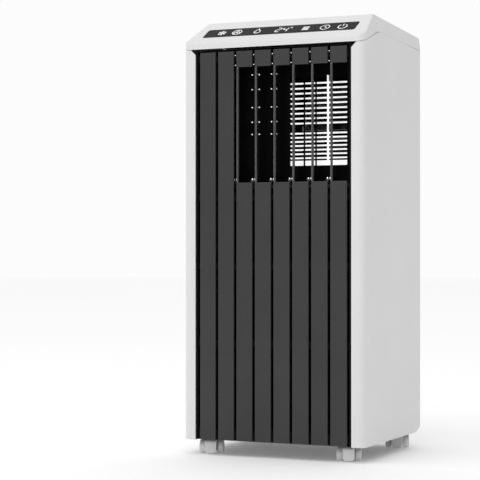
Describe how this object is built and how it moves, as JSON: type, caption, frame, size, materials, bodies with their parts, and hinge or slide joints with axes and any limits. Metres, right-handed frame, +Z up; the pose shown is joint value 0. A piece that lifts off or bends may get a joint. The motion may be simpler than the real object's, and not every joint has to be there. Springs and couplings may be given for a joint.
{
  "type": "portable air conditioner",
  "caption": "Upright room air conditioner on swivel casters, with a slatted front, swinging outlet vanes, sloping touch panel, rear intakes and a hose collar.",
  "frame": {"origin": "on the floor under the middle of the bounding box, where the casters stand", "axes": "+Z up, -Y is the way the slatted front faces, +X is to the right of someone looking at the front"},
  "size_m": [0.302, 0.2901, 0.6824],
  "materials": {
    "white_shell": "fine satin texture",
    "slat_grey": "satin dark grey",
    "black_trim": "matte black",
    "touch_glass": "polished black",
    "circuit_board": "solder mask",
    "pale_guard": "satin pale",
    "fan_grey": "matte",
    "inner_grey": "matte",
    "coil_fin": "bare fins",
    "bright_steel": "zinc plated",
    "compressor_black": "black paint",
    "copper_pipe": "drawn copper tube",
    "soft_rubber": "moulded",
    "filter_mesh": "nylon mesh",
    "caster_grey": "satin grey"
  },
  "bodies": {
    "casing": {"left_side_shell": "white_shell", "right_side_shell": "white_shell", "rear_cover": "white_shell", "top_cover": "white_shell", "control_glass": "touch_glass", "display_board": "circuit_board", "front_frame": "black_trim", "slat_panel": "slat_grey", "vane_motor": "bright_steel", "outlet_duct": "black_trim", "inner_grille": "pale_guard", "blower_scroll": "black_trim", "blower_motor": "bright_steel", "evaporator": "coil_fin", "drain_pan": "inner_grey", "control_box": "bright_steel", "condenser": "coil_fin", "condenser_scroll": "inner_grey", "condenser_motor": "bright_steel", "compressor": "compressor_black", "compressor_grommets": "soft_rubber", "compressor_bolts": "bright_steel", "discharge_pipe": "copper_pipe", "suction_pipe": "copper_pipe", "base_tray": "inner_grey", "exhaust_collar": "white_shell", "cord_gland": "soft_rubber", "rear_screws": "bright_steel"},
    "vane_1": {"vane_1": "slat_grey"},
    "vane_2": {"vane_2": "slat_grey"},
    "vane_3": {"vane_3": "slat_grey"},
    "vane_4": {"vane_4": "slat_grey"},
    "vane_5": {"vane_5": "slat_grey"},
    "vane_6": {"vane_6": "slat_grey"},
    "tie_bar": {"vane_tie_bar": "black_trim"},
    "motor_crank": {"motor_crank": "black_trim"},
    "blower_wheel": {"blower_wheel": "fan_grey"},
    "condenser_wheel": {"condenser_wheel": "fan_grey"},
    "upper_intake": {"upper_intake_grille": "white_shell", "upper_filter": "filter_mesh"},
    "lower_intake": {"lower_intake_grille": "white_shell", "lower_filter": "filter_mesh"},
    "lower_plug": {"lower_drain_plug": "soft_rubber"},
    "upper_plug": {"upper_drain_plug": "soft_rubber"},
    "caster_front_left": {"caster_front_left_hood": "caster_grey", "caster_front_left_axle": "bright_steel"},
    "caster_front_left_wheel_left": {"caster_front_left_wheel_left": "caster_grey"},
    "caster_front_left_wheel_right": {"caster_front_left_wheel_right": "caster_grey"},
    "caster_front_right": {"caster_front_right_hood": "caster_grey", "caster_front_right_axle": "bright_steel"},
    "caster_front_right_wheel_left": {"caster_front_right_wheel_left": "caster_grey"},
    "caster_front_right_wheel_right": {"caster_front_right_wheel_right": "caster_grey"},
    "caster_rear_left": {"caster_rear_left_hood": "caster_grey", "caster_rear_left_axle": "bright_steel"},
    "caster_rear_left_wheel_left": {"caster_rear_left_wheel_left": "caster_grey"},
    "caster_rear_left_wheel_right": {"caster_rear_left_wheel_right": "caster_grey"},
    "caster_rear_right": {"caster_rear_right_hood": "caster_grey", "caster_rear_right_axle": "bright_steel"},
    "caster_rear_right_wheel_left": {"caster_rear_right_wheel_left": "caster_grey"},
    "caster_rear_right_wheel_right": {"caster_rear_right_wheel_right": "caster_grey"}
  },
  "joints": [
    {"name": "vane_1_swing", "type": "hinge", "parent": "casing", "child": "vane_1", "pos_m": [-0.05808, -0.1434, 0.513], "axis": [0, 0, -1], "range_deg": [0, 110]},
    {"name": "vane_2_swing", "type": "hinge", "parent": "casing", "child": "vane_2", "pos_m": [-0.02692, -0.1434, 0.513], "axis": [0, 0, -1], "range_deg": [0, 110]},
    {"name": "vane_3_swing", "type": "hinge", "parent": "casing", "child": "vane_3", "pos_m": [0.00424, -0.1434, 0.513], "axis": [0, 0, -1], "range_deg": [0, 110]},
    {"name": "vane_4_swing", "type": "hinge", "parent": "casing", "child": "vane_4", "pos_m": [0.0354, -0.1434, 0.513], "axis": [0, 0, -1], "range_deg": [0, 110]},
    {"name": "vane_5_swing", "type": "hinge", "parent": "casing", "child": "vane_5", "pos_m": [0.06656, -0.1434, 0.513], "axis": [0, 0, -1], "range_deg": [0, 110]},
    {"name": "vane_6_swing", "type": "hinge", "parent": "casing", "child": "vane_6", "pos_m": [0.09772, -0.1434, 0.513], "axis": [0, 0, -1], "range_deg": [0, 110]},
    {"name": "tie_bar_pin", "type": "hinge", "parent": "vane_1", "child": "tie_bar", "pos_m": [-0.06798, -0.1335, 0.4215], "axis": [0, 0, -1], "range_deg": [-110, 0]},
    {"name": "motor_crank_turn", "type": "hinge", "parent": "casing", "child": "motor_crank", "pos_m": [0.1, -0.111, 0.413], "axis": [0, 0, -1], "range_deg": [0, 110]},
    {"name": "blower_spin", "type": "hinge", "parent": "casing", "child": "blower_wheel", "pos_m": [0.06, -0.008, 0.513], "axis": [1, 0, 0], "continuous": true},
    {"name": "condenser_fan_spin", "type": "hinge", "parent": "casing", "child": "condenser_wheel", "pos_m": [0.024, 0.02, 0.165], "axis": [0, 1, 0], "continuous": true},
    {"name": "upper_intake_pull", "type": "slide", "parent": "casing", "child": "upper_intake", "axis": [0, 1, 0], "range_m": [0, 0.06]},
    {"name": "lower_intake_pull", "type": "slide", "parent": "casing", "child": "lower_intake", "axis": [0, 1, 0], "range_m": [0, 0.06]},
    {"name": "lower_plug_pull", "type": "slide", "parent": "casing", "child": "lower_plug", "axis": [0, 1, 0], "range_m": [0, 0.03]},
    {"name": "upper_plug_pull", "type": "slide", "parent": "casing", "child": "upper_plug", "axis": [0, 1, 0], "range_m": [0, 0.03]},
    {"name": "caster_front_left_swivel", "type": "hinge", "parent": "casing", "child": "caster_front_left", "pos_m": [-0.1155, -0.116, 0.05], "axis": [0, 0, 1], "continuous": true},
    {"name": "caster_front_left_roll_left", "type": "hinge", "parent": "caster_front_left", "child": "caster_front_left_wheel_left", "pos_m": [-0.11674, -0.1122, 0.0105], "axis": [0.9511, 0.309, 0], "continuous": true},
    {"name": "caster_front_left_roll_right", "type": "hinge", "parent": "caster_front_left", "child": "caster_front_left_wheel_right", "pos_m": [-0.11674, -0.1122, 0.0105], "axis": [0.9511, 0.309, 0], "continuous": true},
    {"name": "caster_front_right_swivel", "type": "hinge", "parent": "casing", "child": "caster_front_right", "pos_m": [0.1155, -0.116, 0.05], "axis": [0, 0, 1], "continuous": true},
    {"name": "caster_front_right_roll_left", "type": "hinge", "parent": "caster_front_right", "child": "caster_front_right_wheel_left", "pos_m": [0.11426, -0.1122, 0.0105], "axis": [0.9511, 0.309, 0], "continuous": true},
    {"name": "caster_front_right_roll_right", "type": "hinge", "parent": "caster_front_right", "child": "caster_front_right_wheel_right", "pos_m": [0.11426, -0.1122, 0.0105], "axis": [0.9511, 0.309, 0], "continuous": true},
    {"name": "caster_rear_left_swivel", "type": "hinge", "parent": "casing", "child": "caster_rear_left", "pos_m": [-0.1255, 0.076, 0.05], "axis": [0, 0, 1], "continuous": true},
    {"name": "caster_rear_left_roll_left", "type": "hinge", "parent": "caster_rear_left", "child": "caster_rear_left_wheel_left", "pos_m": [-0.12674, 0.0798, 0.0105], "axis": [0.9511, 0.309, 0], "continuous": true},
    {"name": "caster_rear_left_roll_right", "type": "hinge", "parent": "caster_rear_left", "child": "caster_rear_left_wheel_right", "pos_m": [-0.12674, 0.0798, 0.0105], "axis": [0.9511, 0.309, 0], "continuous": true},
    {"name": "caster_rear_right_swivel", "type": "hinge", "parent": "casing", "child": "caster_rear_right", "pos_m": [0.1255, 0.076, 0.05], "axis": [0, 0, 1], "continuous": true},
    {"name": "caster_rear_right_roll_left", "type": "hinge", "parent": "caster_rear_right", "child": "caster_rear_right_wheel_left", "pos_m": [0.12426, 0.0798, 0.0105], "axis": [0.9511, 0.309, 0], "continuous": true},
    {"name": "caster_rear_right_roll_right", "type": "hinge", "parent": "caster_rear_right", "child": "caster_rear_right_wheel_right", "pos_m": [0.12426, 0.0798, 0.0105], "axis": [0.9511, 0.309, 0], "continuous": true}
  ],
  "couplings": [
    {"joint": "vane_2_swing", "follows": "vane_1_swing", "ratio": 1},
    {"joint": "vane_3_swing", "follows": "vane_1_swing", "ratio": 1},
    {"joint": "vane_4_swing", "follows": "vane_1_swing", "ratio": 1},
    {"joint": "vane_5_swing", "follows": "vane_1_swing", "ratio": 1},
    {"joint": "vane_6_swing", "follows": "vane_1_swing", "ratio": 1},
    {"joint": "tie_bar_pin", "follows": "vane_1_swing", "ratio": -1},
    {"joint": "motor_crank_turn", "follows": "vane_1_swing", "ratio": 1}
  ]
}
